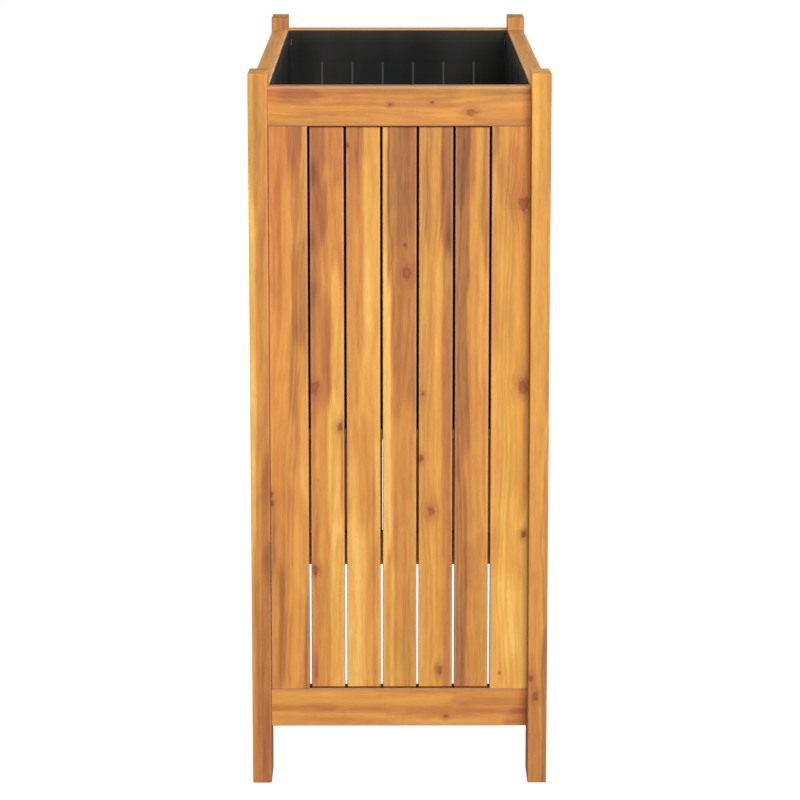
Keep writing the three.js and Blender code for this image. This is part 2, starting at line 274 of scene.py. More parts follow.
class Tree:
    """Builds one node tree. An input is a number, a colour or another node's output."""

    def __init__(self, name):
        self.material = bpy.data.materials.new(name)
        self.material.use_nodes = True
        self.nodes = self.material.node_tree.nodes
        self.links = self.material.node_tree.links
        self.shader = self.nodes["Principled BSDF"]

    def join(self, value, socket):
        if isinstance(value, bpy.types.NodeSocket):
            self.links.new(value, socket)
        else:
            socket.default_value = value

    def node(self, kind, inputs, **settings):
        made = self.nodes.new(kind)
        for key, value in settings.items():
            setattr(made, key, value)
        for key, value in inputs.items():
            self.join(value, made.inputs[key])
        return made

    def value(self, name):
        """A number that the points of the mesh carry."""
        return self.node("ShaderNodeAttribute", {}, attribute_name=name).outputs["Fac"]

    def vector(self, name):
        return self.node("ShaderNodeAttribute", {}, attribute_name=name).outputs["Vector"]

    def split(self, vector):
        return self.node("ShaderNodeSeparateXYZ", {0: vector}).outputs[:]

    def combine(self, x, y, z):
        return self.node("ShaderNodeCombineXYZ", {0: x, 1: y, 2: z}).outputs[0]

    def scaled(self, vector, scale):
        made = self.node("ShaderNodeVectorMath", {0: vector, 1: scale}, operation="MULTIPLY")
        return made.outputs[0]

    def maths(self, operation, a, b=0.0):
        return self.node("ShaderNodeMath", {0: a, 1: b}, operation=operation).outputs[0]

    def times(self, a, b):
        return self.maths("MULTIPLY", a, b)

    def chain(self, operation, values):
        result = values[0]
        for value in values[1:]:
            result = self.maths(operation, result, value)
        return result

    def total(self, *values):
        return self.chain("ADD", values)

    def greatest(self, *values):
        return self.chain("MAXIMUM", values)

    def distance(self, x, y):
        square = self.total(self.maths("POWER", x, 2.0), self.maths("POWER", y, 2.0))
        return self.maths("SQRT", square)

    def about_middle(self, value, strength):
        """A noise from 0 to 1 as a change from -strength / 2 to strength / 2."""
        return self.times(self.maths("SUBTRACT", value, 0.5), strength)

    def fade(self, value, start, end, first=0.0, last=1.0):
        """first up to start, last from end on, and a smooth step in between."""
        names = {"Value": value, "From Min": start, "From Max": end, "To Min": first, "To Max": last}
        made = self.node("ShaderNodeMapRange", names, interpolation_type="SMOOTHSTEP")
        return made.outputs[0]

    def noise(self, vector, kind):
        place = self.scaled(vector, kind.scale)
        inputs = {"Vector": place, "Scale": 1.0, "Detail": kind.detail, "Roughness": kind.roughness}
        return self.node("ShaderNodeTexNoise", inputs).outputs[0]

    def change(self, vector, kind):
        return self.about_middle(self.noise(vector, kind), kind.strength)

    def ramp(self, value, stops):
        made = self.node("ShaderNodeValToRGB", {0: value})
        elements = made.color_ramp.elements
        while len(elements) < len(stops):
            elements.new(0.5)
        for element, (place, colour) in zip(elements, stops):
            element.position = place
            element.color = colour
        return made.outputs[0]

    def mix(self, share, first, second):
        """A mix of two colours, which are sockets 6 and 7 of the node."""
        inputs = {0: share, 6: first, 7: second}
        return self.node("ShaderNodeMix", inputs, data_type="RGBA").outputs[2]

    def bump(self, height, strength, distance):
        inputs = {"Height": height, "Strength": strength, "Distance": distance}
        return self.node("ShaderNodeBump", inputs).outputs[0]

    def surface(self, inputs):
        """The finished material: numbers, colours and outputs go to its shader."""
        for name, value in inputs.items():
            self.join(value, self.shader.inputs[name])
        return self.material


# A noise: waves in a metre across, in depth and along, detail, roughness, and the range of its change
Noise = namedtuple("Noise", "scale detail roughness strength", defaults=(2.0, 0.5, 1.0))


def spread(places, colours):
    """Ramp stops from screen colours."""
    return [(place, srgb(*colour)) for place, colour in zip(places, colours)]


TONES = (0.0, 0.15, 0.32, 0.48, 0.62, 0.76, 0.90, 1.0)
GOLDEN = spread(TONES, [
    (134, 84, 54), (156, 100, 62), (181, 121, 68), (203, 140, 71),
    (219, 156, 74), (232, 170, 79), (243, 185, 89), (252, 200, 105),
])
REDDISH = spread(TONES, [
    (138, 80, 52), (162, 97, 62), (187, 115, 67), (206, 133, 71),
    (221, 150, 75), (233, 165, 82), (243, 180, 92), (251, 195, 107),
])
KNOT_COLOUR = srgb(124, 62, 40)
KNOT_RING = srgb(158, 92, 58)
STAIN_COLOUR = srgb(182, 110, 68)
PORE_COLOUR = srgb(96, 56, 34)
# The colour of painted shade in joints, grooves and the sides of slits
JOINT_SHADE_COLOUR = srgb(104, 48, 8)
# The colour of a painted highlight on the rounded edges of the boards
EDGE_HIGHLIGHT_COLOUR = srgb(228, 186, 144)

# Knots: how many times longer than wide, the least radius, how much of the way the grain is pushed aside,
# and in radii how far the push, the core, the stain and its tail along the board reach
KNOT_STRETCH = 1.5
LEAST_KNOT = 0.1 * MM
KNOT_PUSH = 0.72
KNOT_PUSHES_TO = 3.8
KNOT_CORE = (0.25, 1.35)
KNOT_STAIN = (0.4, 3.3)
KNOT_TAIL = (0.8, 4.4)
KNOT_TAIL_WIDTH = 1.6
KNOT_TAIL_LOPSIDED = -2.2
KNOT_RING_WAVES = 7.0
KNOT_RIPPLE = Noise((300, 300, 150), strength=1.7)

# Noises in the wood: the sway of the grain, then bands, patches, figure, streaks, rings and fibres, which
# change the tone, pores, how red the wood is, and the wobble of the rings
SWAY = Noise((24, 24, 7), 3.0, strength=0.014)
BROAD = Noise((52, 52, 3.2), strength=1.5)
PATCH = Noise((115, 115, 16), 3.0, 0.6, 0.36)
FIGURE = Noise((230, 230, 62), 2.0, 0.55, 0.17)
NARROW = Noise((290, 290, 9), strength=0.19)
RINGS = Noise((330, 0, 0), 1.0, strength=0.12)
FIBRE = Noise((1300, 1300, 30), 2.0, 0.6, 0.16)
PORES = Noise((2300, 2300, 110), 1.0)
HUE = Noise((33, 33, 2.6))
PITH_WOBBLE = Noise((9, 9, 1.7), strength=0.045)


def around_knot(tree, name, across, along, ripple):
    """What one knot does to a point: how far the grain is pushed aside, core, rings and stain."""
    knot_across, knot_along, radius = tree.split(tree.vector(name))
    size = tree.greatest(radius, LEAST_KNOT)
    side = tree.maths("SUBTRACT", across, knot_across)
    aside = tree.maths("DIVIDE", side, size)
    ahead = tree.maths("DIVIDE", tree.maths("SUBTRACT", along, knot_along), size)
    ahead = tree.maths("DIVIDE", ahead, KNOT_STRETCH)
    reach = tree.total(tree.distance(aside, ahead), ripple)
    push = tree.times(side, tree.fade(reach, 0.0, KNOT_PUSHES_TO, KNOT_PUSH, 0.0))
    strength = tree.fade(radius, 2 * MM, 4.5 * MM, 1.0, 0.8)
    core = tree.times(tree.fade(reach, *KNOT_CORE, 1.0, 0.0), strength)
    ring = tree.maths("SINE", tree.times(reach, KNOT_RING_WAVES))
    beside = tree.fade(tree.maths("ABSOLUTE", aside), 0.0, KNOT_TAIL_WIDTH, 1.0, 0.0)
    beyond = tree.greatest(ahead, tree.times(ahead, KNOT_TAIL_LOPSIDED))
    above = tree.fade(beyond, *KNOT_TAIL, 1.0, 0.0)
    tail = tree.times(tree.times(beside, above), 0.6)
    stain = tree.greatest(tree.fade(reach, *KNOT_STAIN, 1.0, 0.0), tail)
    return push, core, ring, stain


def growth_ring(tree, across, depth, bent):
    """Early and late wood, from 0 to 1, in rings about the board's pith."""
    pith_across, pith_depth, _ = tree.split(tree.vector("pith"))
    from_pith = tree.maths("SUBTRACT", across, pith_across)
    below_pith = tree.maths("SUBTRACT", depth, pith_depth)
    radius = tree.total(tree.distance(from_pith, below_pith), tree.change(bent, PITH_WOBBLE))
    return tree.fade(tree.noise(tree.combine(radius, 0.0, 0.0), RINGS), 0.30, 0.66)


def wood_material():
    """Oiled acacia: growth rings about a pith, streaks along the board, fibres, pores and knots."""
    tree = Tree("oiled_acacia")
    grain = tree.vector("grain")
    across, depth, along = tree.split(grain)
    ripple = tree.change(grain, KNOT_RIPPLE)
    around = [around_knot(tree, f"knot_{k + 1}", across, along, ripple) for k in range(MOST_KNOTS)]
    pushes, cores, rings, stains = zip(*around)
    core, stain = tree.greatest(*cores), tree.greatest(*stains)
    knot_ring = tree.total(*(tree.times(a, b) for a, b in zip(cores, rings)))

    moved = tree.total(across, tree.times(tree.total(*pushes), -1.0), tree.change(grain, SWAY))
    bent = tree.combine(moved, depth, along)
    ring = growth_ring(tree, moved, depth, bent)
    fibre = tree.noise(bent, FIBRE)
    pore = tree.fade(tree.noise(bent, PORES), 0.63, 0.72)
    tone = tree.total(
        tree.value("tone"),
        tree.times(tree.change(bent, BROAD), tree.value("mottle")),
        tree.change(bent, PATCH),
        tree.change(bent, FIGURE),
        tree.change(bent, NARROW),
        tree.about_middle(ring, RINGS.strength),
        tree.about_middle(fibre, FIBRE.strength),
    )
    warm = tree.fade(tree.total(tree.noise(bent, HUE), tree.value("redness")), 0.36, 0.62)
    colour = tree.mix(warm, tree.ramp(tone, GOLDEN), tree.ramp(tone, REDDISH))
    # Painted highlight on the rounded edges
    colour = tree.mix(tree.value("edge"), colour, EDGE_HIGHLIGHT_COLOUR)
    colour = tree.mix(tree.times(stain, 0.6), colour, STAIN_COLOUR)
    knot_colour = tree.mix(tree.fade(knot_ring, -0.6, 0.8), KNOT_COLOUR, KNOT_RING)
    colour = tree.mix(tree.times(core, 0.86), colour, knot_colour)
    colour = tree.mix(tree.times(pore, 0.16), colour, PORE_COLOUR)
    # Painted shade at joints, in grooves and on the sides of slits
    colour = tree.mix(tree.times(tree.value("joint"), 0.92), colour, JOINT_SHADE_COLOUR)

    rough = tree.total(
        0.50,
        tree.about_middle(fibre, 0.22),
        tree.times(pore, 0.12),
        tree.times(tree.value("end"), 0.14),
    )
    height = tree.total(
        tree.times(fibre, 0.55),
        tree.times(ring, 0.20),
        tree.times(pore, -0.5),
        tree.times(core, -0.35),
    )
    return tree.surface({
        "Base Color": colour,
        "Roughness": rough,
        "Specular IOR Level": 0.2,
        "Normal": tree.bump(height, 0.22, 0.6 * MM),
    })


TAPE = Noise((30, 900, 1), strength=0.22)
FABRIC_CLOUD = Noise((19, 4, 1), strength=0.9)
WEAVE_WAVES = (2900, 2900, 0)
FABRIC_GREYS = spread((0.0, 0.5, 1.0), [(25, 28, 28), (40, 43, 42), (69, 64, 59)])
# Painted light at the top of the walls: the fabric is painted lighter from the first height up to the
# second, where more light falls on it.
LIT_RIM = (0.70, 0.73)


def liner_material():
    """Black ground-cover fabric: a plain weave of flat tapes, matt, that lets a little light through."""
    tree = Tree("liner_fabric")
    weave = tree.vector("weave")
    along_warp, along_weft, _ = tree.split(tree.scaled(weave, WEAVE_WAVES))
    crossing = tree.times(tree.maths("SINE", along_warp), tree.maths("SINE", along_weft))
    tape = tree.noise(weave, TAPE)
    height = tree.split(weave)[1]
    shade = tree.total(
        tree.times(crossing, 0.08),
        tree.about_middle(tape, TAPE.strength),
        tree.change(weave, FABRIC_CLOUD),
        # painted light near the rim
        tree.times(tree.fade(height, *LIT_RIM), 0.35),
        0.51,
    )
    relief = tree.total(crossing, tree.times(tape, 0.8))
    return tree.surface({
        "Base Color": tree.ramp(shade, FABRIC_GREYS),
        "Roughness": tree.total(0.76, tree.about_middle(tape, 0.2)),
        "Specular IOR Level": 0.12,
        "Alpha": 0.8,
        "Normal": tree.bump(relief, 0.25, 0.4 * MM),
    })


TURNING = Noise((60, 2600, 2600), 3.0)
STEEL_CLOUD = Noise((300, 300, 300), strength=0.6)


def steel_material(name, dark, light, roughness):
    """Steel with fine turning marks and small scratches. dark and light are greys from 0 to 255."""
    tree = Tree(name)
    place = tree.node("ShaderNodeTexCoord", {}).outputs["Object"]
    marks = tree.noise(place, TURNING)
    shade = tree.total(marks, tree.change(place, STEEL_CLOUD))
    greys = spread((0.25, 0.75), [(dark, dark, dark - 3), (light, light, light - 3)])
    return tree.surface({
        "Base Color": tree.ramp(shade, greys),
        "Metallic": 1.0,
        "Roughness": tree.total(roughness, tree.about_middle(marks, 0.3)),
        "Normal": tree.bump(marks, 0.15, 0.2 * MM),
    })


# Meshes


def wave(x, y, seed):
    """Smooth noise from about -1 to 1."""
    return noise.noise(Vector((x, y, seed)))


def set_attribute(mesh, name, values):
    """Gives each point of a mesh a number or, with three times as many values, a vector."""
    vectors = len(values) == 3 * len(mesh.vertices)
    made = mesh.attributes.new(name, "FLOAT_VECTOR" if vectors else "FLOAT", "POINT")
    made.data.foreach_set("vector" if vectors else "value", values)


def new_object(name, data):
    made = bpy.data.objects.new(name, data)
    bpy.context.scene.collection.objects.link(made)
    return made


def make_piece(name, mesh, material):
    """A new piece that rides on the planter's one body."""
    mesh.materials.append(material)
    piece = new_object(name, mesh)
    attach(piece, BODY)
    return piece


def taken_from(work, name):
    """The mesh that a bmesh holds. The bmesh is freed."""
    mesh = bpy.data.meshes.new(name)
    work.to_mesh(mesh)
    work.free()
    return mesh


def applied(thing, *helpers):
    """The mesh of an object with its modifiers applied. The object and its helpers are removed."""
    graph = bpy.context.evaluated_depsgraph_get()
    result = bpy.data.meshes.new_from_object(thing.evaluated_get(graph))
    for used in (thing, *helpers):
        bpy.data.objects.remove(used)
    return result


def quads(low, high, count):
    """The faces between two rings of count points, of which low and high are the first."""
    onward = [*range(1, count), 0]
    return [(low + i, low + j, high + j, high + i) for i, j in enumerate(onward)]


def quads_between(rings, count):
    """The faces between rings of count points each, one ring after the other."""
    faces = []
    for ring in range(rings - 1):
        faces.extend(quads(ring * count, (ring + 1) * count, count))
    return faces


def closed_mesh(name, points, faces, merge=0.0):
    """A mesh whose faces point outwards. Points nearer to each other than merge become one."""
    mesh = bpy.data.meshes.new(name)
    mesh.from_pydata(points, [], faces)
    work = bmesh.new()
    work.from_mesh(mesh)
    if merge:
        bmesh.ops.remove_doubles(work, verts=work.verts, dist=merge)
    bmesh.ops.recalc_face_normals(work, faces=work.faces)
    work.to_mesh(mesh)
    work.free()
    return mesh


def soften(mesh):
    """Smooth shading that keeps edges sharper than those of a rounding."""
    mesh.shade_smooth()
    mesh.set_sharp_from_angle(angle=math.radians(40))


def outline(corners, step):
    """The points round a cross-section, from its corners (across, depth, rounding)."""
    points = []
    for i, (across, depth, radius) in enumerate(corners):
        here = Vector((across, depth))
        back = (Vector(corners[i - 1][:2]) - here).normalized()
        on = (Vector(corners[(i + 1) % len(corners)][:2]) - here).normalized()
        if radius == 0:
            points.append(here)
        else:
            centre = here + (back + on) * radius
            for k in range(ARC_STEPS + 1):
                angle = math.pi / 2 * k / ARC_STEPS
                points.append(centre - on * radius * math.cos(angle) - back * radius * math.sin(angle))
        next_across, next_depth, next_radius = corners[(i + 1) % len(corners)]
        start = points[-1]
        end = Vector((next_across, next_depth)) - on * next_radius
        parts = max(1, math.ceil((end - start).length / step - STEP_TOLERANCE))
        points.extend(start.lerp(end, k / parts) for k in range(1, parts))
        if next_radius == 0 and (end - start).length < NO_LENGTH:
            points.pop()
    return points


def stations(low, high, step, rounding, marks=()):
    """Where the rings of a board stand along it, each with how far it is drawn in at a rounded end."""
    ends = []
    if rounding:
        for k in range(ARC_STEPS):
            angle = math.pi / 2 * k / ARC_STEPS
            drawn = END_DRAWN_IN * rounding * (1 - math.sin(angle))
            ends.append((rounding * (1 - math.cos(angle)), drawn))
    start, end = low + rounding, high - rounding
    parts = max(1, round((end - start) / step))
    middle = [(start + (end - start) * k / parts, 0.0) for k in range(parts + 1)]
    middle = sorted(middle + [(place, 0.0) for place in marks])
    first = [(low + place, drawn) for place, drawn in ends]
    last = [(high - place, drawn) for place, drawn in reversed(ends)]
    return first + middle + last


def drawn_out(name, loop, rings, axes):
    """A closed mesh: the loop of a cross-section repeated at each ring. axes is (across, depth, along)."""
    centre = Vector((sum(p.x for p in loop), sum(p.y for p in loop))) / len(loop)
    half = Vector((max(p.x for p in loop) - centre.x, max(p.y for p in loop) - centre.y))
    points = []
    for place, drawn in rings:
        for p in loop:
            co = [0.0, 0.0, 0.0]
            co[axes[0]] = centre.x + (p.x - centre.x) * (1 - drawn / half.x)
            co[axes[1]] = centre.y + (p.y - centre.y) * (1 - drawn / half.y)
            co[axes[2]] = place
            points.append(co)
    count = len(loop)
    caps = [list(range(count)), list(range(len(points) - count, len(points)))]
    return closed_mesh(name, points, caps + quads_between(len(rings), count))


# Boards

# A board reaches from low to high and stands for a CAD node, or for a part of it. axes says which way its
# face, its thickness and its length lie: (across, depth, along).
Board = namedtuple("Board", "name node low high axes stock")


def corners_of(board, groove=None, opens_up=True):
    """The corners of a board's cross-section, as (across, depth, rounding). groove is the box of a groove
    in the edge that faces the slats, as (low, high)."""
    a, d, _ = board.axes
    low, high, rounding = board.low, board.high, board.stock.rounding
    shut, mouth = (low[a], high[a]) if opens_up else (high[a], low[a])
    corners = [(shut, low[d], rounding), (mouth, low[d], rounding)]
    if groove:
        floor = groove[0][a] if opens_up else groove[1][a]
        corners += [(mouth, groove[0][d], LIP_ROUNDING), (floor, groove[0][d], 0)]
        corners += [(floor, groove[1][d], 0), (mouth, groove[1][d], LIP_ROUNDING)]
    return corners + [(mouth, high[d], rounding), (shut, high[d], rounding)]


def step_up(value, edge, softness):
    share = min(1.0, max(0.0, (value - edge) / softness + 0.5))
    return share * share * (3 - 2 * share)


def band(value, low, high, softness, narrower=0.0):
    """1 between low and high and 0 outside. A limit at the edge of the board doesn't fade or move in."""
    rise = 1.0 if low <= 0 else step_up(value, low + narrower, softness)
    fall = 0.0 if high >= 1 else step_up(value, high - narrower, softness)
    return rise * (1 - fall)


def streak_at(u, v, streak, seed):
    """The share of a streak at a place: its sides wander and its ends run out to a point."""
    left, right, bottom, top, _ = streak
    wander = wave(v * 6, seed, 0.3) + 0.4 * wave(v * 23, seed, 4.1)
    here = band(u + STREAK_WANDER * wander, left, right, STREAK_SOFTNESS_ACROSS)
    if not here:
        return 0.0
    if left <= 0:
        aside = u / right
    elif right >= 1:
        aside = (1 - u) / (1 - left)
    else:
        aside = abs(2 * u - left - right) / (right - left)
    return here * band(v, bottom, top, STREAK_SOFTNESS_ALONG, STREAK_POINT * (aside - 0.5))


def chance_look(draw):
    """The look of a board that the photograph doesn't show."""
    streaks = []
    for _ in range(draw.randint(2, 4)):
        middle, half = draw.random(), draw.uniform(0.06, 0.24)
        start = draw.uniform(-0.5, 0.7)
        end = start + draw.uniform(0.3, 1.2)
        change = draw.choice((-1, -1, 1)) * draw.uniform(0.08, 0.30)
        streaks.append((middle - half, middle + half, start, end, change))
    knots = []
    for _ in range(draw.choice((0, 0, 1, 1, 2))):
        knots.append((draw.uniform(0.1, 0.9), draw.uniform(0.05, 0.95), draw.uniform(1.4, 4.5) * MM))
    return Look(draw.uniform(0.48, 0.78), 0.0, streaks, knots)


boards_made = 0


def paint_board(mesh, board, shade):
    """Gives a board's mesh the values that the wood material reads."""
    global boards_made
    boards_made += 1
    draw = random.Random(boards_made)
    seen = board.node in LOOKS
    look = LOOKS[board.node] if seen else chance_look(draw)
    lot = Vector((1 + boards_made % LOTS_IN_A_ROW, 0, 1 + boards_made // LOTS_IN_A_ROW))
    a, d, along = board.axes
    low, high = board.low, board.high
    size = high - low
    turn = draw.uniform(*PITH_TURN) * draw.choice((-1, 1))
    away = draw.uniform(*PITH_AWAY)
    pith = Vector((math.sin(turn), draw.choice((-1, 1)) * math.cos(turn), 0)) * away
    pith += Vector((low[a] + size[a] / 2, low[d] + size[d] / 2, 0)) + Vector((lot.x, 0, 0))

    values = {name: [] for name in ("grain", "tone", "mottle", "edge", "end", "joint")}
    for vertex in mesh.vertices:
        co = vertex.co
        u = (co[a] - low[a]) / size[a]
        v = (co[along] - low[along]) / size[along]
        skew = STREAK_DEPTH_WANDER * wave(u * 2, v * 9, boards_made)
        behind = step_up(co[d] - low[d] + skew, STREAK_DEPTH, STREAK_FADES_OVER) if seen else 1.0
        front = 1.0 - behind if seen else 1.0
        tone = look.tone
        for k, streak in enumerate(look.streaks):
            tone += front * streak[-1] * streak_at(u, v, streak, boards_made + 0.37 * k)
        inside = [min(co[k] - low[k], high[k] - co[k]) for k in board.axes]
        on_edge = max(inside[:2]) < board.stock.rounding * 1.01
        values["grain"].extend((co[a] + lot.x, co[d], co[along] + lot.z))
        values["tone"].append(tone)
        values["mottle"].append(STEADY_MOTTLE + (CHANCE_MOTTLE - STEADY_MOTTLE) * behind)
        # A painted highlight on the rounded edges
        values["edge"].append(board.stock.paleness if on_edge else 0.0)
        values["end"].append(1.0 if inside[2] < NEAR else 0.0)
        # How much painted shade a point gets at a joint, in a groove or on a slit's side
        values["joint"].append(shade(co) if shade else 0.0)

    count = len(mesh.vertices)
    values["redness"] = [look.redness] * count
    values["pith"] = list(pith) * count
    for k in range(MOST_KNOTS):
        place = (0.0, 0.0, 0.0)
        if k < len(look.knots):
            knot_across, knot_along, radius = look.knots[k]
            place = (
                low[a] + knot_across * size[a] + lot.x,
                low[along] + knot_along * size[along] + lot.z,
                radius,
            )
        values[f"knot_{k + 1}"] = place * count
    for name, numbers in values.items():
        set_attribute(mesh, name, numbers)
    soften(mesh)


def add_board(board, corners=None, round_ends=False, cut=None, marks=(), shade=None):
    """Makes a board as a piece. corners is its cross-section where that isn't plain, cut is a function
    that takes wood off its mesh, marks are places for more rings along it, and shade is a function for how
    much painted shade a point of it gets at a joint."""
    across_step, along_step = FINE_STEPS if board.node.startswith("front_") else PLAIN_STEPS
    along = board.axes[2]
    rounding = board.stock.rounding if round_ends else 0
    loop = outline(corners or corners_of(board), across_step)
    rings = stations(board.low[along], board.high[along], along_step, rounding, marks)
    mesh = drawn_out(board.name, loop, rings, board.axes)
    if cut:
        mesh = cut(mesh)
    paint_board(mesh, board, shade)
    piece = make_piece(board.name, mesh, wood)
    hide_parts(board.node)


def lathe_mesh(name, profile, sides, axis_y, axis_z):
    """A closed body turned about a line along X, from (x, radius) points. The first and last radius is 0."""
    points = []
    for x, radius in profile:
        for k in range(sides):
            angle = 2 * math.pi * k / sides
            points.append((x, axis_y + radius * math.cos(angle), axis_z + radius * math.sin(angle)))
    return closed_mesh(name, points, quads_between(len(profile), sides), SAME_POINT)


def cut_away(mesh, cutters):
    """The mesh with the cutters' bodies taken off."""
    body = new_object("body_to_cut", mesh)
    tools = [new_object("cutter", cutter) for cutter in cutters]
    for tool in tools:
        modifier = body.modifiers.new("cut", "BOOLEAN")
        modifier.operation = "DIFFERENCE"
        modifier.solver = "EXACT"
        modifier.object = tool
    return applied(body, *tools)


HOLE_SIDES = 32
HOLE_STARTS_OUT = 4 * MM
HOLE_DEPTH = 30 * MM
SHANK_RADIUS = 3 * MM
HEAD_HEIGHT = 4 * MM


def screw_hole(node, outward):
    """The cutter for a screw's head and shank in a post, along X. outward is the sign of its outer side."""
    low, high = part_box(node)
    head_top = high.x if outward > 0 else low.x
    underside = head_top - outward * HEAD_HEIGHT
    wide = (high.z - low.z) / 2 + JOINT_PLAY
    narrow = SHANK_RADIUS + JOINT_PLAY
    outside = head_top + outward * HOLE_STARTS_OUT
    inside = head_top - outward * HOLE_DEPTH
    profile = [(outside, 0), (outside, wide), (underside, wide)]
    profile += [(underside, narrow), (inside, narrow), (inside, 0)]
    return lathe_mesh("hole", profile, HOLE_SIDES, (low.y + high.y) / 2, (low.z + high.z) / 2)


def add_post(end, side):
    node = f"{end}_{side}_post"
    outward = 1 if side == "right" else -1

    def with_holes(mesh):
        cutters = [screw_hole(f"{end}_{side}_{level}_screw", outward) for level in ("bottom", "top")]
        return cut_away(mesh, cutters)

    board = Board(f"{node}_board", node, *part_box(node), (X, Y, Z), POST_STOCK)
    add_board(board, round_ends=True, cut=with_holes)


def grown(box, by):
    low, high = box
    room = Vector((by, by, by))
    return low - room, high + room


def rail_shade(board, groove, opens_up):
    """A function for how much painted shade a point of a rail gets: dark in its groove and at the groove's
    lips, and a little dark on the edges beside them, where shade falls."""
    a, d, _ = board.axes
    bottom = groove[0][a] if opens_up else board.low[a]
    top = board.high[a] if opens_up else groove[1][a]
    mouth = top if opens_up else bottom

    def shade(co):
        beside = groove[0][d] - LIP_REACH < co[d] < groove[1][d] + LIP_REACH
        if beside and bottom - NEAR < co[a] < top + NEAR:
            return 1.0
        return MOUTH_SHADE if abs(co[a] - mouth) < RAIL_STOCK.rounding + NEAR else 0.0

    return shade


def add_rail(node, low, high, axes, groove):
    board = Board(f"{node}_board", node, low, high, axes, RAIL_STOCK)
    opens_up = "bottom" in node
    corners = corners_of(board, groove, opens_up)
    add_board(board, corners, shade=rail_shade(board, groove, opens_up))


def add_slat(name, node, low, high, axes, joints):
    """A slat between two rails. joints is the height of the lower rail's top and the upper's underside."""
    start, end = joints
    full, clear = JOINT_SHADE
    marks = (start + full, start + clear, end - clear, end - full)
    across = axes[0]

    def shade(co):
        """Painted shade at the joints and on the sides towards the slat's neighbours."""
        if not marks[1] - NEAR < co.z < marks[2] + NEAR:
            return 1.0
        inside = min(co[across] - low[across], high[across] - co[across])
        return SLIT_SHADE if inside < SLIT_SHADE_WIDTH else 0.0

    add_board(Board(name, node, low, high, axes, SLAT_STOCK), marks=marks, shade=shade)


def joints_of(panel):
    """The heights of the lower rail's top and the upper rail's underside of an end or a side."""
    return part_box(f"{panel}_bottom_rail")[1].z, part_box(f"{panel}_top_rail")[0].z


SLATS_OF_AN_END = 5


def add_end_panel(end):
    joints = joints_of(end)
    groove = grown(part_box(f"{end}_slat_1"), JOINT_PLAY)
    for level in ("bottom", "top"):
        node = f"{end}_{level}_rail"
        add_rail(node, *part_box(node), (Z, Y, X), groove)
    for i in (1, 2):
        node = f"{end}_stile_{i}"
        low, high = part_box(node)
        low.z, high.z = joints
        add_board(Board(f"{node}_board", node, low, high, (X, Y, Z), STILE_STOCK))
    for i in range(1, SLATS_OF_AN_END + 1):
        node = f"{end}_slat_{i}"
        add_slat(f"{node}_board", node, *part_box(node), (X, Y, Z), joints)


SECTIONS = 6
SLATS_IN_A_SECTION = 3


def add_side_panel(side):
    """Two rails and the slats between them, of which each CAD node holds a few as one section."""
    joints = joints_of(side)
    sections = sorted(
        ((f"{side}_slats_{i}", *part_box(f"{side}_slats_{i}")) for i in range(1, SECTIONS + 1)),
        key=lambda found: found[1].y,
    )
    gap = sections[1][1].y - sections[0][2].y
    groove = grown(sections[0][1:], JOINT_PLAY)
    for level in ("bottom", "top"):
        node = f"{side}_{level}_rail"
        low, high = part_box(node)
        low.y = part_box(f"front_{side}_post")[1].y
        high.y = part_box(f"back_{side}_post")[0].y
        add_rail(node, low, high, (Z, X, Y), groove)
    for node, low, high in sections:
        width = (high.y - low.y - (SLATS_IN_A_SECTION - 1) * gap) / SLATS_IN_A_SECTION
        for k in range(SLATS_IN_A_SECTION):
            slat_low, slat_high = low.copy(), high.copy()
            slat_low.y = low.y + k * (width + gap)
            slat_high.y = slat_low.y + width
            add_slat(f"{node}_board_{k + 1}", node, slat_low, slat_high, (Y, X, Z), joints)


BASE_BOARDS = [f"base_board_{i}" for i in range(1, 8)]


def add_base():
    boards = [(node, f"{node}_board", (Z, X, Y)) for node in ("left_cleat", "right_cleat")]
    boards += [(node, f"{node}_plank", (Y, Z, X)) for node in BASE_BOARDS]
    for node, name, axes in boards:
        add_board(Board(name, node, *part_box(node), axes, RAIL_STOCK), round_ends=True)


# Liner

CLOTH_THICKNESS = 0.7 * MM
CORNER_AT_RIM = 3 * MM
CORNER_BELOW = 14 * MM
CORNER_OPENS_OVER = 0.09
BOTTOM_FILLET = 9 * MM
HEM_HEIGHT = 0.016
HEM_RELIEF = 0.5 * MM
HEM_EDGE = 1 * MM
CLOTH_STEP = 7 * MM
CORNER_POINTS = 5
FILLET_RINGS = 5
BOTTOM_RINGS = 16

# Folds in the walls: how deep and how far below the rim they start, how much of the depth the taut rim
# keeps, how they slant, and waves in a metre along and up the wall
FOLD_DEPTH = 4 * MM
FOLD_STARTS_OVER = 0.10
TAUT_SHARE = 0.25
FOLD_SLANT = 0.05
FOLD_WAVES = (17, 1.3)
FOLD_BIAS = 0.35
FINE_FOLD_WAVES = (46, 2.1)
FINE_FOLD_SHARE = 0.25

# Unevenness of the bottom
BOTTOM_WAVES = 14
FINE_BOTTOM_WAVES = 37
BOTTOM_LIFT = 1.6 * MM
BOTTOM_BIAS = 0.2


def rounded_rectangle(half_x, half_y, radius, counts):
    """Points round a rectangle with rounded corners, anticlockwise, with their outward directions."""
    points = []
    x, y = half_x - radius, half_y - radius
    sides = [
        (Vector((half_x, -y)), Vector((half_x, y)), counts[1]),
        (Vector((x, half_y)), Vector((-x, half_y)), counts[0]),
        (Vector((-half_x, y)), Vector((-half_x, -y)), counts[1]),
        (Vector((-x, -half_y)), Vector((x, -half_y)), counts[0]),
    ]
    for k, (start, end, count) in enumerate(sides):
        facing = k * math.pi / 2
        out = Vector((math.cos(facing), math.sin(facing)))
        points.extend((start.lerp(end, i / count), out) for i in range(count))
        centre = end - out * radius
        for i in range(CORNER_POINTS):
            angle = facing + math.pi / 2 * i / CORNER_POINTS
            direction = Vector((math.cos(angle), math.sin(angle)))
            points.append((centre + direction * radius, direction))
    return points


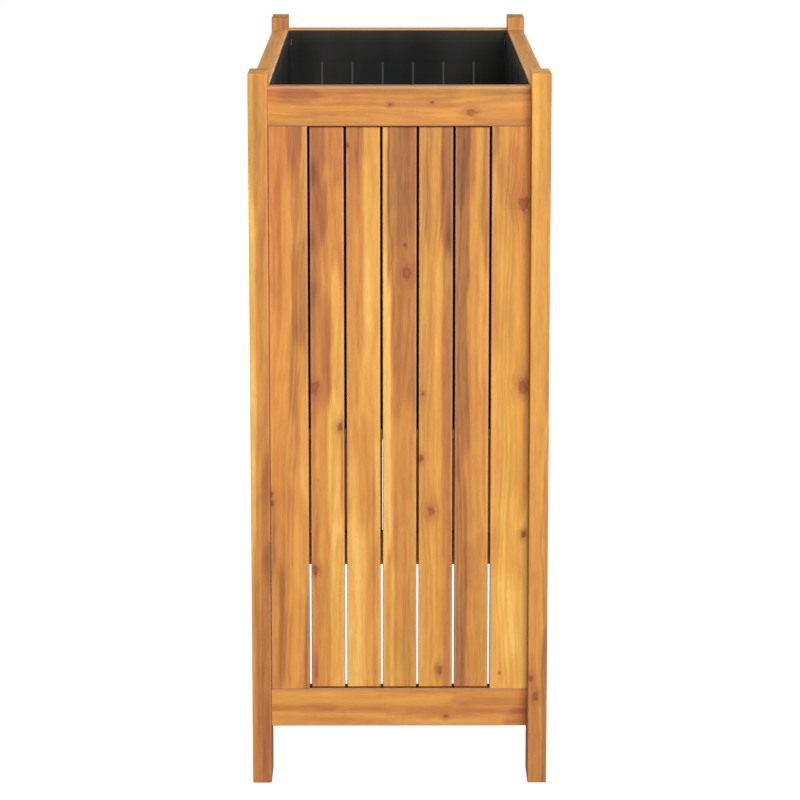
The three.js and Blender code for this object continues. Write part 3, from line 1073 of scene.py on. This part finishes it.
def fold(run, height, drop):
    """How far the cloth of a wall stands in from the boards at a place along the wall."""
    slant = run + FOLD_SLANT * height
    deep = wave(slant * FOLD_WAVES[0], height * FOLD_WAVES[1], 3.1) + FOLD_BIAS
    fine = wave(slant * FINE_FOLD_WAVES[0], height * FINE_FOLD_WAVES[1], 8.4)
    loose = step_up(drop, FOLD_STARTS_OVER / 2, FOLD_STARTS_OVER)
    share = TAUT_SHARE + (1 - TAUT_SHARE) * loose
    return FOLD_DEPTH * max(0.0, deep * share + FINE_FOLD_SHARE * fine * loose)


def wall_rings(low, high):
    """The heights of the rings of the walls, each with how far the ring is drawn in."""
    rings = []
    for k in range(FILLET_RINGS):
        angle = math.pi / 2 * k / FILLET_RINGS
        rings.append((low.z + BOTTOM_FILLET * (1 - math.cos(angle)), BOTTOM_FILLET * (1 - math.sin(angle))))
    wall_low, hem_low = low.z + BOTTOM_FILLET, high.z - HEM_HEIGHT
    rows = round((hem_low - wall_low) / (2 * CLOTH_STEP))
    rings.extend((wall_low + (hem_low - wall_low) * k / rows, 0.0) for k in range(rows + 1))
    rings.append((hem_low + HEM_EDGE, HEM_RELIEF))
    rings.append((high.z - HEM_EDGE, HEM_RELIEF))
    rings.append((high.z, HEM_RELIEF * 0.6))
    return rings


def lay_bottom(points, weave, faces, count, middle):
    """Adds the bottom to the walls' lists: rings from the foot of the walls in to a line down the middle."""
    lowest = [Vector(point) for point in points[:count]]
    before = 0
    for k in range(1, BOTTOM_RINGS + 1):
        start = len(points)
        for p in lowest:
            spine = Vector((0.0, min(middle, max(-middle, p.y)), p.z))
            place = p.lerp(spine, k / BOTTOM_RINGS)
            lift = wave(place.x * BOTTOM_WAVES, place.y * BOTTOM_WAVES, 1.7)
            lift += 0.5 * wave(place.x * FINE_BOTTOM_WAVES, place.y * FINE_BOTTOM_WAVES, 5.2)
            place.z += BOTTOM_LIFT * max(0.0, lift + BOTTOM_BIAS) * min(1.0, k / 2)
            points.append(tuple(place))
            weave.extend((place.x, place.y, 0.0))
        faces.extend(quads(start, before, count))
        before = start


def liner_mesh(low, high):
    """An open bag: walls with soft upright folds and a hem at the rim, and a bottom on the boards."""
    half_x, half_y = high.x, high.y
    counts = (round(2 * half_x / CLOTH_STEP), round(2 * half_y / CLOTH_STEP))
    rings = wall_rings(low, high)
    points, weave = [], []
    for z, inset in rings:
        drop = high.z - z
        opened = step_up(drop, CORNER_OPENS_OVER / 2, CORNER_OPENS_OVER)
        corner = CORNER_AT_RIM + (CORNER_BELOW - CORNER_AT_RIM) * opened
        settled = step_up(z - low.z, BOTTOM_FILLET, BOTTOM_FILLET)
        ring = rounded_rectangle(half_x - inset, half_y - inset, corner, counts)
        run = 0.0
        for i, (place, out) in enumerate(ring):
            if i:
                run += (place - ring[i - 1][0]).length
            inward = fold(run, z, drop) * settled
            moved = place - out * inward
            points.append((moved.x, moved.y, z))
            weave.extend((run, z, 0.0))
    count = len(ring)
    faces = quads_between(len(rings), count)
    lay_bottom(points, weave, faces, count, half_y - half_x)
    mesh = bpy.data.meshes.new("liner")
    mesh.from_pydata(points, [], faces)
    set_attribute(mesh, "weave", weave)
    return mesh


def add_liner():
    low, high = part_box("liner")
    mesh = liner_mesh(low, high)
    work = bmesh.new()
    work.from_mesh(mesh)
    bmesh.ops.remove_doubles(work, verts=work.verts, dist=NEAR)
    work.normal_update()
    outermost = max(work.faces, key=lambda face: face.calc_center_median().x)
    if outermost.normal.x < 0:
        bmesh.ops.reverse_faces(work, faces=work.faces)
    work.to_mesh(mesh)
    work.free()
    shell = new_object("cloth_shell", mesh)
    thick = shell.modifiers.new("thickness", "SOLIDIFY")
    thick.thickness = CLOTH_THICKNESS
    thick.offset = -1
    solid = applied(shell)
    solid.shade_smooth()
    piece = make_piece("fabric_liner", solid, liner_fabric)
    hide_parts("liner")


# Small fixings

STAPLE_CROWN = 7 * MM
STAPLE_WIDTH = 0.7 * MM
STAPLE_WIRE = 0.5 * MM
STAPLE_LEG = 3 * MM
STAPLE_DROP = 14.5 * MM
STAPLE_OFF_CLOTH = 0.4 * MM
STAPLE_FROM_CORNER = 3.4 * MM


def add_staple(work, middle, out):
    """A flat wire bent at both ends, upright on the liner. out points into the planter."""
    across = Vector((0, 0, 1)).cross(out)
    half = STAPLE_CROWN / 2
    inner = half - STAPLE_WIRE
    face, back = STAPLE_WIRE, -STAPLE_LEG
    shape = [(-half, back), (-half, face), (half, face), (half, back)]
    shape += [(inner, back), (inner, 0.0), (-inner, 0.0), (-inner, back)]
    sides = []
    for shift in (-STAPLE_WIDTH / 2, STAPLE_WIDTH / 2):
        places = [middle + Vector((0, 0, h)) + out * o + across * shift for h, o in shape]
        sides.append([work.verts.new(place) for place in places])
    work.faces.new(sides[0])
    work.faces.new(reversed(sides[1]))
    for i in range(len(shape)):
        j = (i + 1) % len(shape)
        work.faces.new((sides[0][j], sides[0][i], sides[1][i], sides[1][j]))


def add_staples():
    """A staple near each corner, on the end walls."""
    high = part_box("liner")[1]
    skin = CLOTH_THICKNESS + STAPLE_OFF_CLOTH
    work = bmesh.new()
    for x in (-1, 1):
        for y in (-1, 1):
            place = (x * (high.x - STAPLE_FROM_CORNER), y * (high.y - skin), high.z - STAPLE_DROP)
            add_staple(work, Vector(place), Vector((0, -y, 0)))
    bmesh.ops.recalc_face_normals(work, faces=work.faces)
    make_piece("liner_staples", taken_from(work, "liner_staples"), staple_wire)


CLEAT_SCREWS = 5
CLEAT_SCREW_RADIUS = 3.8 * MM
HEAD_SIDES = 24
# Points of a head's section: how far each stands out of the wood, and its share of the head's radius
HEAD_SECTION = [(-3.2 * MM, 0), (-3.2 * MM, 0.4), (0.05 * MM, 1)]
HEAD_SECTION += [(0.45 * MM, 0.8), (0.70 * MM, 0.4), (0.75 * MM, 0)]
CROSS_ARMS = ((1.1 * MM, 4.8 * MM), (4.8 * MM, 1.1 * MM))
CROSS_DEPTH = 2 * MM
CROSS_MIDDLE = 0.6 * MM


def block(centre, size):
    work = bmesh.new()
    spot = Matrix.Translation(centre) @ Matrix.Diagonal((*size, 1))
    bmesh.ops.create_cube(work, size=1.0, matrix=spot)
    return taken_from(work, "block")


def add_cleat_screws(side):
    """Countersunk heads along the inner face of a cleat, with a cross recess."""
    low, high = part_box(f"{side}_cleat")
    inward = 1 if side == "left" else -1
    face = high.x if inward > 0 else low.x
    z = (low.z + high.z) / 2
    profile = [(face + inward * out, CLEAT_SCREW_RADIUS * share) for out, share in HEAD_SECTION]
    work = bmesh.new()
    for k in range(CLEAT_SCREWS):
        y = low.y + (high.y - low.y) * (k + 0.5) / CLEAT_SCREWS
        head = lathe_mesh("head", profile, HEAD_SIDES, y, z)
        middle = (face + inward * CROSS_MIDDLE, y, z)
        work.from_mesh(cut_away(head, [block(middle, (CROSS_DEPTH, *arm)) for arm in CROSS_ARMS]))
    mesh = taken_from(work, f"{side}_cleat_screws")
    soften(mesh)
    make_piece(mesh.name, mesh, steel)


# Studio

LIGHTS_AIM_HEIGHT = 0.4
LIGHTS_DISTANCE = 4.0
FLOOR_HALF = 100
FLOOR_GLOW = 0.93


def add_camera():
    camera = new_object("camera", bpy.data.cameras.new("camera"))
    camera.data.sensor_width = SENSOR_WIDTH
    camera.data.lens = CAMERA_LENS
    camera.data.clip_end = CAMERA_REACH
    camera.location = CAMERA_PLACE
    camera.rotation_euler = (math.pi / 2 - CAMERA_PITCH, 0, -CAMERA_YAW)
    bpy.context.scene.camera = camera


def add_light(name, turn, rise, size, strength, glossy=True):
    """A square soft light. turn is its angle from the front towards the right and rise its angle above the
    floor. strength is how brightly it lights a face square to it, where 1 leaves such a face in its own
    colour. A light that isn't glossy gives no highlights."""
    target = Vector((0, 0, LIGHTS_AIM_HEIGHT))
    turn, rise = math.radians(turn), math.radians(rise)
    across = math.cos(rise)
    away = Vector((across * math.sin(turn), -across * math.cos(turn), math.sin(rise)))
    lamp = bpy.data.lights.new(name, "AREA")
    lamp.shape = "SQUARE"
    lamp.size = size
    lamp.energy = strength * (math.pi * LIGHTS_DISTANCE) ** 2
    light = new_object(name, lamp)
    light.location = target + away * LIGHTS_DISTANCE
    light.rotation_euler = away.to_track_quat("Z", "Y").to_euler()
    light.visible_camera = False
    light.visible_glossy = glossy


def add_floor():
    """A plain white floor that glows, as the paper sweep of a studio lit from all sides does."""
    half = FLOOR_HALF
    mesh = bpy.data.meshes.new("floor")
    corners = [(-half, -half, 0), (half, -half, 0), (half, half, 0), (-half, half, 0)]
    mesh.from_pydata(corners, [], [(0, 1, 2, 3)])
    floor = new_object("floor", mesh)
    floor.visible_diffuse = False
    floor.visible_glossy = False
    white = Tree("white_floor").surface({
        "Base Color": (0.3, 0.3, 0.3, 1),
        "Roughness": 1.0,
        "Specular IOR Level": 0.0,
        "Emission Color": (1, 1, 1, 1),
        "Emission Strength": FLOOR_GLOW,
    })
    mesh.materials.append(white)


def add_room(light_strength):
    """An even room, white where the camera sees it and dimmer as light."""
    world = bpy.data.worlds.new("white_room")
    bpy.context.scene.world = world
    world.use_nodes = True
    nodes, links = world.node_tree.nodes, world.node_tree.links
    background = nodes["Background"]
    background.inputs["Color"].default_value = (1, 1, 1, 1)
    path = nodes.new("ShaderNodeLightPath")
    strength = nodes.new("ShaderNodeMapRange")
    strength.inputs["To Min"].default_value = light_strength
    strength.inputs["To Max"].default_value = 1.0
    links.new(path.outputs["Is Camera Ray"], strength.inputs["Value"])
    links.new(strength.outputs[0], background.inputs["Strength"])


wood = wood_material()
liner_fabric = liner_material()
steel = steel_material("brushed_steel", 168, 205, 0.30)
staple_wire = steel_material("staple_wire", 96, 128, 0.50)

add_camera()
add_floor()
add_room(0.25)
add_light("key", 14, 24, 2.0, 0.81)
add_light("right_fill", 95, 12, 1.6, 0.50)
add_light("left_fill", -95, 12, 1.6, 0.60)
add_light("back_fill", 175, 16, 1.6, 0.60, glossy=False)
bpy.context.scene.view_settings.view_transform = "Standard"

for end in ("front", "back"):
    for side in ("left", "right"):
        add_post(end, side)
    add_end_panel(end)
for side in ("left", "right"):
    add_side_panel(side)
    add_cleat_screws(side)
add_base()
add_liner()
add_staples()
for name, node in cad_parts.items():
    if name.endswith("_screw"):
        for slot in node.material_slots:
            slot.material = steel
